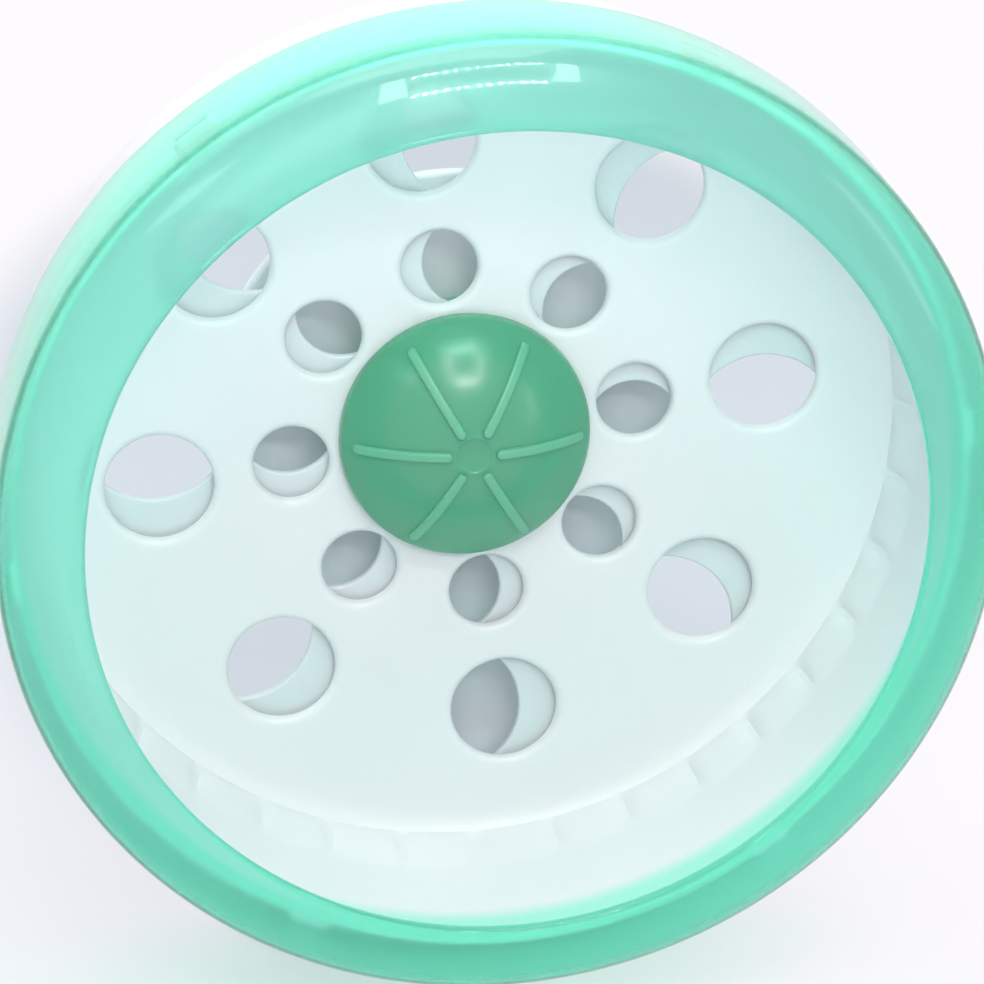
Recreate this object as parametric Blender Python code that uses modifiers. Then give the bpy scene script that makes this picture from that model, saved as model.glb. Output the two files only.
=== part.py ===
"""Small animal exercise wheel: an open-fronted running wheel that turns on a rear stand.

Lengths are in metres and +Z is up. The origin is on the floor, under the middle of the object.
The axle lies along Y and the open front faces -Y. A depth is measured back from the front lip of
the wheel, a radius from the axle, and an angle anticlockwise from +X as seen from the front.
"""

import math

import bmesh
import bpy
from mathutils import Matrix, Vector

# Fits
GAP = 0.0003                      # clearance between pieces that seat on each other
OVERRUN = 0.001                   # how far a cutter reaches past what it cuts
MERGE = 0.00001                   # merge distance of modelled points
SHARP_ANGLE = math.radians(35)    # edges sharper than this are shaded as edges

# Wheel
WHEEL_RADIUS = 0.105              # outside of the front ring
FLOOR_CLEARANCE = 0.012           # between the wheel and the floor

# Front ring
OPENING_RADIUS = 0.0873
RING_WALL = 0.0018
RING_NOSE = 0.0012                # rounding of the lip
RING_FACE_DEPTH = 0.0105          # where the rounded face turns into the skirt
RING_DEPTH = 0.036                # rear edge of the skirt
LIP_DEPTH = 0.0026                # rear edge of the rolled lip
TABS = 6
TAB_WIDTH = 0.008
TAB_LENGTH = 0.0025
TAB_BITE = 0.0006                 # how far a tab reaches in behind a rim catch
TAB_ROOT = 0.0009                 # how far a tab is sunk in the ring's wall

# Running drum
DRUM_FRONT = 0.022                # front edge of the running track
DRUM_WALL = 0.002
RIM_STEP = 0.0009                 # how far a rim catch stands out from the track's wall
RIM_THICKNESS = 0.002
RIM_EDGE = 0.0013                 # width of the track's front edge between the catches
RIM_LEDGE = 0.0002                # how far the rim stands out there
TRACK_TAPER = 0.001               # the track is this much narrower at the back
TREADS = 36
TREAD_HEIGHT = 0.0017             # of a tread where the corner begins
TREAD_REACH = 0.004               # how far a tread reaches in front of the corner
TREAD_START = math.radians(1.3)
TREAD_FACETS = 3
PLATE_DEPTH = 0.0664              # front face of the back plate
CORNER_RADIUS = 0.0085            # inside, between the back plate and the track
REAR_RIB_WIDTH = 0.002            # locates the rear plate

# Holes of the back plate and of the rear plate, as shares of the wheel's radius
HOLES = 8
HOLE_START = math.radians(7.7)
SMALL_HOLE_SHARE = 0.079
SMALL_CIRCLE_SHARE = 0.363
LARGE_HOLE_SHARE = 0.1133
LARGE_CIRCLE_SHARE = 0.64
REAR_SMALL_HOLE_SHARE = 0.1
REAR_LARGE_HOLE_SHARE = 0.157

# Rear plate
REAR_PLATE_THICKNESS = 0.002
REAR_PLATE_TURN = math.radians(-10.8)
HUB_PAD_MARGIN = 0.0045           # the pad's width outside the circle of the hub screws
HUB_PAD_HEIGHT = 0.001            # keeps the rear plate off the drum's plate

# Hub cap
CAP_RADIUS = 0.0275
CAP_RIM = 0.0032                  # height of the cap's straight edge above the plate
CAP_DOME = 0.0117                 # height of the dome above that edge
CAP_WALL = 0.002
DIMPLE_RADIUS = 0.0035
DIMPLE_DEPTH = 0.0005
RIBS = 6
RIB_START = 0.0048
RIB_END = 0.0253
RIB_WIDTH = 0.0022
RIB_HEIGHT = 0.0011

# Hub screws
HUB_SCREWS = 4
HUB_SCREW_CIRCLE = 0.0195
HUB_SCREW_RADIUS = 0.0013
HUB_SCREW_HEAD_RADIUS = 0.0026
HUB_SCREW_HEAD = 0.0018
HUB_SCREW_BITE = 0.0045           # length of thread in the cap
SCREW_RING_WALL = 0.0016          # plastic each side of a screw hole in the cap

# Bearings, size 608
BORE_RADIUS = 0.004
BEARING_RADIUS = 0.011
BEARING_WIDTH = 0.007
BALLS = 7
BALL_RADIUS = 0.00195
BALL_CIRCLE = 0.0075
INNER_SHOULDER_RADIUS = 0.0061
OUTER_SHOULDER_RADIUS = 0.009
SHIELD_THICKNESS = 0.0004
SHIELD_SETBACK = 0.0001           # a shield lies this far inside the bearing's face
CAGE_WALL = 0.0013
CAGE_RAIL = 0.0005                # cage material behind the pockets
CAGE_FINGER = 0.001               # cage material in front of the balls' middle
POCKET_PLAY = 0.0003

# Hub housing
HOUSING_WALL = 0.0022
LAND_LENGTH = 0.005               # shoulder between the bearings
LAND_HEIGHT = 0.0017
FLANGE_RADIUS = 0.0285
FLANGE_THICKNESS = 0.003

# Axle
SHIM_RADIUS = 0.0058
SHIM_THICKNESS = 0.001
BOLT_HEAD_FLATS = 0.013
BOLT_HEAD = 0.0053
REAR_SPACER_LENGTH = 0.0024
WASHER_RADIUS = 0.008
WASHER_THICKNESS = 0.0016
NUT_FLATS = 0.013
NUT_HEIGHT = 0.0075
BOLT_END = 0.0015                 # thread that stands out of the nut
NUT_COVER_RADIUS = 0.0125
NUT_COVER_HEIGHT = 0.013
NUT_COVER_WALL = 0.0015

# Stand
HEAD_RADIUS = 0.0535              # hides the hub behind the small holes
HEAD_THICKNESS = 0.003
HEAD_STEP = 0.001                 # the head stands out this far in front of the leg
POST_THICKNESS = 0.012
POST_HALF_WIDTH = 0.019
POST_FOOT_HALF_WIDTH = 0.028
POST_FLARE = 0.03                 # height over which the post widens to its foot
BASE_RADIUS = 0.055
BASE_THICKNESS = 0.007
BASE_EDGE = 0.003
BASE_SETBACK = 0.002              # the base's middle lies this far behind the post's
BASE_SCREWS = 2
BASE_SCREW_SPREAD = 0.024
BASE_SCREW_RADIUS = 0.0015
BASE_SCREW_HEAD_RADIUS = 0.0029
BASE_SCREW_HEAD = 0.002
BASE_SCREW_SINK = 0.001           # the head lies this far inside the base's underside
BASE_SCREW_BITE = 0.01
FOOT_RADIUS = 0.0075
FOOT_HEIGHT = 0.003               # what shows below the base
FOOT_SOCKET = 0.001
FOOT_EDGE = 0.0005
FOOT_CIRCLE = 0.043
FRONT_FOOT_ANGLE = math.radians(30)
REAR_FOOT_ANGLE = math.radians(45)

# Facets of round pieces, by size
WIDE_STEPS = 96
PLATE_STEPS = 60
CAP_STEPS = 48
HUB_STEPS = 36
BEARING_STEPS = 20
SMALL_STEPS = 16
SCREW_STEPS = 10
HEX_STEPS = 6
FACE_STEPS = 4
CORNER_STEPS = 2
DOME_STEPS = 5
BALL_RINGS = 5
BALL_SLICES = 8

# Seats along the axle, worked out from front to back
plate_back = PLATE_DEPTH + DRUM_WALL
rear_plate_front = plate_back + HUB_PAD_HEIGHT + GAP
rear_plate_back = rear_plate_front + REAR_PLATE_THICKNESS
flange_front = rear_plate_back + GAP
flange_back = flange_front + FLANGE_THICKNESS
land_front = flange_back - LAND_LENGTH
front_bearing_back = land_front - GAP
front_bearing_front = front_bearing_back - BEARING_WIDTH
rear_bearing_front = flange_back + GAP
rear_bearing_back = rear_bearing_front + BEARING_WIDTH
housing_front = front_bearing_front - GAP
housing_back = rear_bearing_back + GAP
shim_back = front_bearing_front - GAP
shim_front = shim_back - SHIM_THICKNESS
bolt_head_back = shim_front - GAP
bolt_head_front = bolt_head_back - BOLT_HEAD
rear_spacer_front = rear_bearing_back + GAP
rear_spacer_back = rear_spacer_front + REAR_SPACER_LENGTH
post_front = rear_spacer_back + GAP
post_back = post_front + POST_THICKNESS
post_middle = post_front + POST_THICKNESS / 2
washer_front = post_back + GAP
washer_back = washer_front + WASHER_THICKNESS
nut_front = washer_back + GAP
nut_back = nut_front + NUT_HEIGHT
bolt_tip = nut_back + BOLT_END
base_middle = post_middle + BASE_SETBACK
object_depth = base_middle + BASE_RADIUS
lip_y = -object_depth / 2

# Sizes that follow the wheel's radius
axis_height = WHEEL_RADIUS + FLOOR_CLEARANCE
small_hole_circle = WHEEL_RADIUS * SMALL_CIRCLE_SHARE
large_hole_circle = WHEEL_RADIUS * LARGE_CIRCLE_SHARE

# Radii that follow from what fits inside what
ring_inside = WHEEL_RADIUS - RING_WALL
rim_radius = ring_inside - GAP
track_front_radius = rim_radius - RIM_STEP - DRUM_WALL
track_back_radius = track_front_radius - TRACK_TAPER
plate_flat_radius = track_back_radius - CORNER_RADIUS
rear_plate_radius = plate_flat_radius - REAR_RIB_WIDTH - GAP
housing_bore_radius = BEARING_RADIUS + GAP
housing_radius = housing_bore_radius + HOUSING_WALL
hub_hole_radius = housing_radius + GAP
shank_radius = BORE_RADIUS - GAP
cap_seat = PLATE_DEPTH - GAP
cap_rim_depth = PLATE_DEPTH - CAP_RIM
cap_apex = cap_rim_depth - CAP_DOME
dome_sphere = (CAP_RADIUS ** 2 + CAP_DOME ** 2) / (2 * CAP_DOME)
hub_screw_hole = HUB_SCREW_RADIUS + GAP
hub_pad_radius = HUB_SCREW_CIRCLE + HUB_PAD_MARGIN

# Heights on the stand
base_top = FOOT_HEIGHT + BASE_THICKNESS
post_bottom = base_top + GAP


def clear_scene():
    for old in list(bpy.data.objects):
        bpy.data.objects.remove(old, do_unlink=True)


def collection(name):
    made = bpy.data.collections.new(name)
    bpy.context.scene.collection.children.link(made)
    return made


def finish(name, colour, roughness, metallic=0.0, alpha=1.0):
    made = bpy.data.materials.new(name)
    made.use_nodes = True
    shader = made.node_tree.nodes["Principled BSDF"]
    shader.inputs["Base Color"].default_value = (*colour, 1.0)
    shader.inputs["Roughness"].default_value = roughness
    shader.inputs["Metallic"].default_value = metallic
    shader.inputs["Alpha"].default_value = alpha
    return made


def holder(name, place, turn=(0.0, 0.0, 0.0)):
    """An empty that carries pieces; its origin is their axis or their reference point."""
    empty = bpy.data.objects.new(name, None)
    empty.location = place
    empty.rotation_euler = turn
    wheel_parts.objects.link(empty)
    return empty


def smooth(mesh):
    mesh.shade_smooth()
    mesh.set_sharp_from_angle(angle=SHARP_ANGLE)


def add_object(name, mesh, parent, material):
    made = bpy.data.objects.new(name, mesh)
    made.parent = parent
    if material:
        mesh.materials.append(material)
        wheel_parts.objects.link(made)
    else:
        cutters.objects.link(made)
        made.hide_render = True
        made.display_type = "WIRE"
    return made


def from_bmesh(name, bm, parent, material):
    bmesh.ops.remove_doubles(bm, verts=bm.verts, dist=MERGE)
    bmesh.ops.recalc_face_normals(bm, faces=bm.faces)
    mesh = bpy.data.meshes.new(name)
    bm.to_mesh(mesh)
    bm.free()
    smooth(mesh)
    return add_object(name, mesh, parent, material)


def outline_area(outline):
    pairs = zip(outline, outline[1:] + outline[:1])
    return sum(a[0] * b[1] - b[0] * a[1] for a, b in pairs) / 2


def turned(name, outline, steps, parent, material):
    """A turned piece from an outline of (radius, depth) points, about the holder's Z axis."""
    points = list(outline)
    if outline_area(points) > 0:
        points.reverse()
    mesh = bpy.data.meshes.new(name)
    edges = [(i, i + 1) for i in range(len(points) - 1)]
    if min(radius for radius, depth in points) > 0:
        edges.append((len(points) - 1, 0))
    mesh.from_pydata([(radius, 0.0, depth) for radius, depth in points], edges, [])
    made = add_object(name, mesh, parent, material)
    screw = made.modifiers.new("turn", "SCREW")
    screw.axis = "Z"
    screw.angle = math.tau
    screw.steps = steps
    screw.render_steps = steps
    screw.use_merge_vertices = True
    screw.merge_threshold = MERGE
    screw.use_smooth_shade = False
    return made


def add_rod(bm, radius, low, high, place=Matrix(), steps=SMALL_STEPS):
    """Adds a closed cylinder between two heights on its own axis."""
    middle = Matrix.Translation((0, 0, (low + high) / 2))
    bmesh.ops.create_cone(bm, cap_ends=True, segments=steps, radius1=radius, radius2=radius,
                          depth=high - low, matrix=place @ middle)


def on_circle(angle, radius):
    """A point at a wheel angle and radius, in the frame of the axle's holders."""
    return Matrix.Translation((radius * math.cos(angle), -radius * math.sin(angle), 0))


def round_about(count, start=0.0):
    return [start + math.tau * index / count for index in range(count)]


def hub_screw_angles():
    return round_about(HUB_SCREWS, HOLE_START + math.pi / HOLES)


def prism(name, outline, low, high, parent, material):
    """A flat outline of (x, y) points, given a thickness from low to high."""
    curve = bpy.data.curves.new(name, "CURVE")
    curve.dimensions = "2D"
    curve.fill_mode = "BOTH"
    curve.extrude = (high - low) / 2
    spline = curve.splines.new("POLY")
    spline.points.add(len(outline) - 1)
    for point, (x, y) in zip(spline.points, outline):
        point.co = (x, y, 0, 1)
    spline.use_cyclic_u = True
    flat = bpy.data.objects.new(name + "_outline", curve)
    bpy.context.scene.collection.objects.link(flat)
    bpy.context.view_layer.update()
    graph = bpy.context.evaluated_depsgraph_get()
    mesh = bpy.data.meshes.new_from_object(flat.evaluated_get(graph))
    bpy.data.objects.remove(flat, do_unlink=True)
    bm = bmesh.new()
    bm.from_mesh(mesh)
    bpy.data.meshes.remove(mesh)
    bmesh.ops.translate(bm, verts=bm.verts, vec=(0, 0, (low + high) / 2))
    return from_bmesh(name, bm, parent, material)


def boolean(target, tool, operation):
    made = target.modifiers.new(tool.name, "BOOLEAN")
    made.operation = operation
    made.solver = "EXACT"
    made.object = tool


def ring_outline():
    """Section of the front ring: rolled lip, rounded face, skirt."""
    face_start = OPENING_RADIUS + RING_NOSE
    span = WHEEL_RADIUS - face_start
    points = [(OPENING_RADIUS, LIP_DEPTH), (OPENING_RADIUS, RING_NOSE), (face_start, 0)]
    turns = [math.pi / 2 * (step + 1) / FACE_STEPS for step in range(FACE_STEPS)]
    for turn in turns:
        radius = face_start + span * math.sin(turn)
        points.append((radius, RING_FACE_DEPTH * (1 - math.cos(turn))))
    points.append((WHEEL_RADIUS, RING_DEPTH))
    points.append((ring_inside, RING_DEPTH))
    for turn in reversed(turns):
        radius = face_start + (span - RING_WALL) * math.sin(turn)
        inner = RING_FACE_DEPTH - (RING_FACE_DEPTH - RING_WALL) * math.cos(turn)
        points.append((radius, inner))
    points.append((OPENING_RADIUS + RING_WALL, RING_WALL))
    points.append((OPENING_RADIUS + RING_WALL, LIP_DEPTH))
    return points


def make_front_ring():
    ring = turned("front_ring", ring_outline(), WIDE_STEPS, wheel_axis, mint_clear)
    bm = bmesh.new()
    tab_low = rim_radius - TAB_BITE
    tab_high = ring_inside + TAB_ROOT
    tab_front = DRUM_FRONT + RIM_THICKNESS + GAP
    size = (tab_high - tab_low, TAB_WIDTH, TAB_LENGTH)
    middle = ((tab_low + tab_high) / 2, 0, tab_front + TAB_LENGTH / 2)
    for angle in round_about(TABS, TREAD_START + math.pi / TREADS):
        place = Matrix.Rotation(-angle, 4, "Z") @ Matrix.Translation(middle)
        bmesh.ops.create_cube(bm, size=1.0, matrix=place @ Matrix.Diagonal((*size, 1)))
    tabs = from_bmesh("ring_tabs", bm, wheel_axis, None)
    boolean(ring, tabs, "UNION")


def drum_outline():
    """Section of the drum as (radius, depth, share of the tread's height, catch) points.

    The treads stand in the corner between the back plate and the track. A catch is how much
    further out the point lies where a tab hooks in.
    """
    centre_depth = PLATE_DEPTH - CORNER_RADIUS
    turns = [math.pi / 2 * step / CORNER_STEPS for step in range(1, CORNER_STEPS)]

    def corner(radius, turn):
        return (plate_flat_radius + radius * math.sin(turn),
                centre_depth + radius * math.cos(turn))

    rib_inside = plate_flat_radius - REAR_RIB_WIDTH
    tread_front = centre_depth - TREAD_REACH
    taper = TRACK_TAPER / (centre_depth - DRUM_FRONT)
    edge_radius = track_front_radius + RIM_EDGE
    wall_radius = track_front_radius + DRUM_WALL
    ledge_radius = wall_radius + RIM_LEDGE
    rim_back = DRUM_FRONT + RIM_THICKNESS
    points = [(plate_flat_radius, PLATE_DEPTH, 0, 0)]
    points += [(*corner(CORNER_RADIUS, turn), math.sin(turn), 0) for turn in turns]
    points.append((track_back_radius, centre_depth, 1, 0))
    points.append((track_back_radius + taper * TREAD_REACH, tread_front, 0, 0))
    points.append((track_front_radius, DRUM_FRONT, 0, 0))
    points.append((edge_radius, DRUM_FRONT, 0, rim_radius - edge_radius))
    points.append((ledge_radius, rim_back, 0, rim_radius - ledge_radius))
    points.append((wall_radius, rim_back, 0, 0))
    points.append((track_back_radius + DRUM_WALL, centre_depth, 0, 0))
    points += [(*corner(CORNER_RADIUS + DRUM_WALL, turn), 0, 0) for turn in reversed(turns)]
    points.append((plate_flat_radius, plate_back, 0, 0))
    points.append((plate_flat_radius, rear_plate_back, 0, 0))
    points.append((rib_inside, rear_plate_back, 0, 0))
    points.append((rib_inside, plate_back, 0, 0))
    return points


def plate_cutters(name, small_share, large_share, start, low, high):
    """Cutters for a plate's two rings of holes, its hub bore and its screw holes."""
    bm = bmesh.new()
    below = low - OVERRUN
    above = high + OVERRUN
    for angle in round_about(HOLES, start):
        small = on_circle(angle, small_hole_circle)
        add_rod(bm, WHEEL_RADIUS * small_share, below, above, small)
        large = on_circle(angle, large_hole_circle)
        add_rod(bm, WHEEL_RADIUS * large_share, below, above, large)
    for angle in hub_screw_angles():
        place = on_circle(angle, HUB_SCREW_CIRCLE)
        add_rod(bm, hub_screw_hole, below, above, place, SCREW_STEPS)
    add_rod(bm, hub_hole_radius, below, above, Matrix(), HUB_STEPS)
    return from_bmesh(name, bm, wheel_axis, None)


def make_running_drum():
    """The drum: each tread is an arched pad in the track's back corner, with a groove between."""
    bm = bmesh.new()
    tread_share = bm.verts.layers.float.new("tread_share")
    catch_height = bm.verts.layers.float.new("catch_height")
    section = []
    for radius, depth, share, catch in drum_outline():
        section.append(bm.verts.new((radius, 0, depth)))
        section[-1][tread_share] = share
        section[-1][catch_height] = catch
    edges = [bm.edges.new(pair) for pair in zip(section, section[1:])]
    bmesh.ops.spin(bm, geom=section + edges, cent=(0, 0, 0), axis=(0, 0, 1),
                   steps=TREADS * TREAD_FACETS, angle=math.tau, use_merge=True)
    treads_per_tab = TREADS // TABS
    for vert in bm.verts:
        treads_passed = math.atan2(vert.co.y, vert.co.x) / math.tau * TREADS
        tread = math.floor(treads_passed)
        across = treads_passed - tread
        rise = TREAD_HEIGHT * (1 - (2 * across - 1) ** 2) * vert[tread_share]
        in_middle = abs(across - 1 / 2) < 1 / TREAD_FACETS
        if in_middle and vert[catch_height] and tread % treads_per_tab == treads_per_tab - 1:
            rise = -vert[catch_height]
        radius = math.hypot(vert.co.x, vert.co.y)
        vert.co.xy *= (radius - rise) / radius
    bmesh.ops.rotate(bm, verts=bm.verts, cent=(0, 0, 0),
                     matrix=Matrix.Rotation(-TREAD_START, 3, "Z"))
    bmesh.ops.holes_fill(bm, edges=[edge for edge in bm.edges if edge.is_boundary], sides=0)
    drum = from_bmesh("running_drum", bm, wheel_axis, white_plastic)
    holes = plate_cutters("drum_holes", SMALL_HOLE_SHARE, LARGE_HOLE_SHARE, HOLE_START,
                          PLATE_DEPTH, plate_back)
    boolean(drum, holes, "DIFFERENCE")


def make_rear_plate():
    """The second plate: its pad bears on the drum's plate and keeps the two apart."""
    bm = bmesh.new()
    add_rod(bm, rear_plate_radius, rear_plate_front, rear_plate_back, Matrix(), PLATE_STEPS)
    plate = from_bmesh("rear_plate", bm, wheel_axis, white_plastic)
    bm = bmesh.new()
    pad_front = rear_plate_front - HUB_PAD_HEIGHT
    add_rod(bm, hub_pad_radius, pad_front, rear_plate_back, Matrix(), HUB_STEPS)
    boolean(plate, from_bmesh("hub_pad", bm, wheel_axis, None), "UNION")
    holes = plate_cutters("rear_plate_holes", REAR_SMALL_HOLE_SHARE, REAR_LARGE_HOLE_SHARE,
                          HOLE_START + REAR_PLATE_TURN, pad_front, rear_plate_back)
    boolean(plate, holes, "DIFFERENCE")


def dome_depth(radius):
    """Depth of the cap's outside at a radius."""
    return cap_apex + dome_sphere - math.sqrt(dome_sphere ** 2 - radius ** 2)


def make_hub_cap():
    """The domed cap: a thin dome with a ring inside that takes the hub screws."""
    ring_in = HUB_SCREW_CIRCLE - hub_screw_hole - SCREW_RING_WALL
    ring_out = HUB_SCREW_CIRCLE + hub_screw_hole + SCREW_RING_WALL
    edge = DIMPLE_RADIUS + DIMPLE_DEPTH
    points = [(0, cap_apex + DIMPLE_DEPTH), (DIMPLE_RADIUS, cap_apex + DIMPLE_DEPTH)]
    for step in range(DOME_STEPS + 1):
        radius = edge + (CAP_RADIUS - edge) * step / DOME_STEPS
        points.append((radius, dome_depth(radius)))
    inside = CAP_RADIUS - CAP_WALL
    points += [(CAP_RADIUS, cap_seat), (inside, cap_seat)]
    points += [(inside, dome_depth(inside) + CAP_WALL), (ring_out, dome_depth(ring_out) + CAP_WALL)]
    points += [(ring_out, cap_seat), (ring_in, cap_seat)]
    for step in range(DOME_STEPS):
        radius = ring_in * (1 - step / DOME_STEPS)
        points.append((radius, dome_depth(radius) + CAP_WALL))
    points.append((0, cap_apex + CAP_WALL))
    cap = turned("hub_cap", points, CAP_STEPS, wheel_axis, green_plastic)

    bm = bmesh.new()
    radii = [RIB_START + (RIB_END - RIB_START) * step / DOME_STEPS for step in range(DOME_STEPS + 1)]
    for angle in round_about(RIBS):
        top = [Vector((radius, -RIB_WIDTH / 2, dome_depth(radius) - RIB_HEIGHT)) for radius in radii]
        root = [Vector((radius, -RIB_WIDTH / 2, dome_depth(radius) + CAP_WALL / 2))
                for radius in reversed(radii)]
        verts = [bm.verts.new(point) for point in top + root]
        side = bm.faces.new(verts)
        grown = bmesh.ops.extrude_face_region(bm, geom=[side])["geom"]
        far = [item for item in grown if isinstance(item, bmesh.types.BMVert)]
        bmesh.ops.translate(bm, verts=far, vec=(0, RIB_WIDTH, 0))
        bmesh.ops.rotate(bm, verts=verts + far, cent=(0, 0, 0),
                         matrix=Matrix.Rotation(-angle, 3, "Z"))
    boolean(cap, from_bmesh("cap_ribs", bm, wheel_axis, None), "UNION")

    bm = bmesh.new()
    for angle in hub_screw_angles():
        place = on_circle(angle, HUB_SCREW_CIRCLE)
        low = cap_seat - HUB_SCREW_BITE - GAP
        add_rod(bm, hub_screw_hole, low, cap_seat + OVERRUN, place, SCREW_STEPS)
    boolean(cap, from_bmesh("cap_screw_holes", bm, wheel_axis, None), "DIFFERENCE")


def make_hub_housing():
    land_radius = housing_bore_radius - LAND_HEIGHT
    outline = [(housing_bore_radius, housing_front), (housing_radius, housing_front),
               (housing_radius, flange_front), (FLANGE_RADIUS, flange_front),
               (FLANGE_RADIUS, flange_back), (housing_radius, flange_back),
               (housing_radius, housing_back), (housing_bore_radius, housing_back),
               (housing_bore_radius, flange_back), (land_radius, flange_back),
               (land_radius, land_front), (housing_bore_radius, land_front)]
    housing = turned("hub_housing", outline, HUB_STEPS, wheel_axis, green_plastic)
    bm = bmesh.new()
    for angle in hub_screw_angles():
        place = on_circle(angle, HUB_SCREW_CIRCLE)
        low = flange_front - OVERRUN
        add_rod(bm, hub_screw_hole, low, flange_back + OVERRUN, place, SCREW_STEPS)
    boolean(housing, from_bmesh("flange_holes", bm, wheel_axis, None), "DIFFERENCE")


def make_hub_screws():
    seat = flange_back + GAP
    tip = cap_seat - HUB_SCREW_BITE
    outline = [(0, tip), (HUB_SCREW_RADIUS, tip), (HUB_SCREW_RADIUS, seat),
               (HUB_SCREW_HEAD_RADIUS, seat), (HUB_SCREW_HEAD_RADIUS, seat + HUB_SCREW_HEAD),
               (0, seat + HUB_SCREW_HEAD)]
    for number, angle in enumerate(hub_screw_angles(), 1):
        name = "hub_screw_" + str(number)
        screw = turned(name, outline, SCREW_STEPS, wheel_axis, zinc_steel)
        screw.location = on_circle(angle, HUB_SCREW_CIRCLE).translation


def race_outline(face_radius, shoulder_radius, half_width):
    """Section of a race: its seat, its shoulders and the groove that the balls run in."""
    reach = BALL_RADIUS + GAP
    side = math.copysign(1, shoulder_radius - BALL_CIRCLE)
    half_groove = math.sqrt(reach ** 2 - (shoulder_radius - BALL_CIRCLE) ** 2)
    low_turn = math.asin(half_groove / reach)
    points = [(face_radius, -half_width), (shoulder_radius, -half_width)]
    for turn in (-low_turn, 0, low_turn):
        radius = BALL_CIRCLE + side * reach * math.cos(turn)
        points.append((radius, reach * math.sin(turn)))
    points += [(shoulder_radius, half_width), (face_radius, half_width)]
    return points


def make_bearing(which, front, turning_axis, rolling_axis, fixed_axis):
    """One 608 bearing: the outer race turns, the inner race is fixed, the balls go between."""
    half = BEARING_WIDTH / 2
    middle = front + half

    def shifted(outline):
        return [(radius, depth + middle) for radius, depth in outline]

    outer = race_outline(BEARING_RADIUS, OUTER_SHOULDER_RADIUS, half)
    turned(which + "_outer_race", shifted(outer), BEARING_STEPS, turning_axis, bearing_steel)
    inner = race_outline(BORE_RADIUS, INNER_SHOULDER_RADIUS, half)
    turned(which + "_inner_race", shifted(inner), BEARING_STEPS, fixed_axis, bearing_steel)

    shield_out = OUTER_SHOULDER_RADIUS - GAP
    shield_in = INNER_SHOULDER_RADIUS + GAP
    far = half - SHIELD_SETBACK
    near = far - SHIELD_THICKNESS
    for side, low, high in (("front", -far, -near), ("rear", near, far)):
        outline = [(shield_in, low), (shield_out, low), (shield_out, high), (shield_in, high)]
        name = which + "_" + side + "_shield"
        turned(name, shifted(outline), BEARING_STEPS, turning_axis, zinc_steel)

    for number, angle in enumerate(round_about(BALLS), 1):
        bm = bmesh.new()
        bmesh.ops.create_uvsphere(bm, u_segments=BALL_SLICES, v_segments=BALL_RINGS,
                                  radius=BALL_RADIUS)
        ball = from_bmesh(which + "_ball_" + str(number), bm, rolling_axis, bearing_steel)
        ball.location = on_circle(angle, BALL_CIRCLE).translation

    pocket = BALL_RADIUS + POCKET_PLAY
    back = pocket + CAGE_RAIL
    cage_in = BALL_CIRCLE - CAGE_WALL / 2
    cage_out = BALL_CIRCLE + CAGE_WALL / 2
    outline = [(cage_in, -CAGE_FINGER), (cage_out, -CAGE_FINGER), (cage_out, back), (cage_in, back)]
    cage = turned(which + "_cage", outline, BEARING_STEPS, rolling_axis, cage_nylon)
    bm = bmesh.new()
    upright = Matrix.Rotation(math.pi / 2, 4, "Y")
    for angle in round_about(BALLS):
        place = Matrix.Rotation(-angle, 4, "Z") @ upright
        add_rod(bm, pocket, cage_in - OVERRUN, cage_out + OVERRUN, place, SCREW_STEPS)
    boolean(cage, from_bmesh(which + "_pockets", bm, rolling_axis, None), "DIFFERENCE")


def sleeve(name, inside, outside, low, high, material):
    outline = [(inside, low), (outside, low), (outside, high), (inside, high)]
    return turned(name, outline, BEARING_STEPS, fixed_axis, material)


def hexagon(bm, flats, low, high):
    corner = flats / 2 / math.cos(math.pi / HEX_STEPS)
    add_rod(bm, corner, low, high, Matrix(), HEX_STEPS)


def make_axle():
    sleeve("front_washer", BORE_RADIUS, SHIM_RADIUS, shim_front, shim_back, zinc_steel)
    sleeve("spacer_sleeve", BORE_RADIUS, SHIM_RADIUS, land_front, flange_back, zinc_steel)
    sleeve("rear_spacer", BORE_RADIUS, SHIM_RADIUS, rear_spacer_front, rear_spacer_back, zinc_steel)
    sleeve("lock_washer", BORE_RADIUS, WASHER_RADIUS, washer_front, washer_back, zinc_steel)

    bm = bmesh.new()
    hexagon(bm, BOLT_HEAD_FLATS, bolt_head_front, bolt_head_back)
    bolt = from_bmesh("axle_bolt", bm, fixed_axis, zinc_steel)
    bm = bmesh.new()
    add_rod(bm, shank_radius, bolt_head_back - OVERRUN, bolt_tip, Matrix(), BEARING_STEPS)
    boolean(bolt, from_bmesh("bolt_shank", bm, fixed_axis, None), "UNION")

    bm = bmesh.new()
    hexagon(bm, NUT_FLATS, nut_front, nut_back)
    nut = from_bmesh("lock_nut", bm, fixed_axis, zinc_steel)
    bm = bmesh.new()
    add_rod(bm, BORE_RADIUS, nut_front - OVERRUN, nut_back + OVERRUN, Matrix(), BEARING_STEPS)
    boolean(nut, from_bmesh("nut_bore", bm, fixed_axis, None), "DIFFERENCE")

    seat = post_back + GAP
    top = seat + NUT_COVER_HEIGHT
    roof = top - NUT_COVER_WALL
    bevel = NUT_COVER_WALL * 2
    inside = NUT_COVER_RADIUS - NUT_COVER_WALL
    points = [(0, roof), (inside - NUT_COVER_WALL, roof), (inside, top - bevel), (inside, seat)]
    points += [(NUT_COVER_RADIUS, seat), (NUT_COVER_RADIUS, top - bevel)]
    points += [(NUT_COVER_RADIUS - bevel, top), (0, top)]
    turned("nut_cover", points, HUB_STEPS, fixed_axis, green_plastic)


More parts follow.
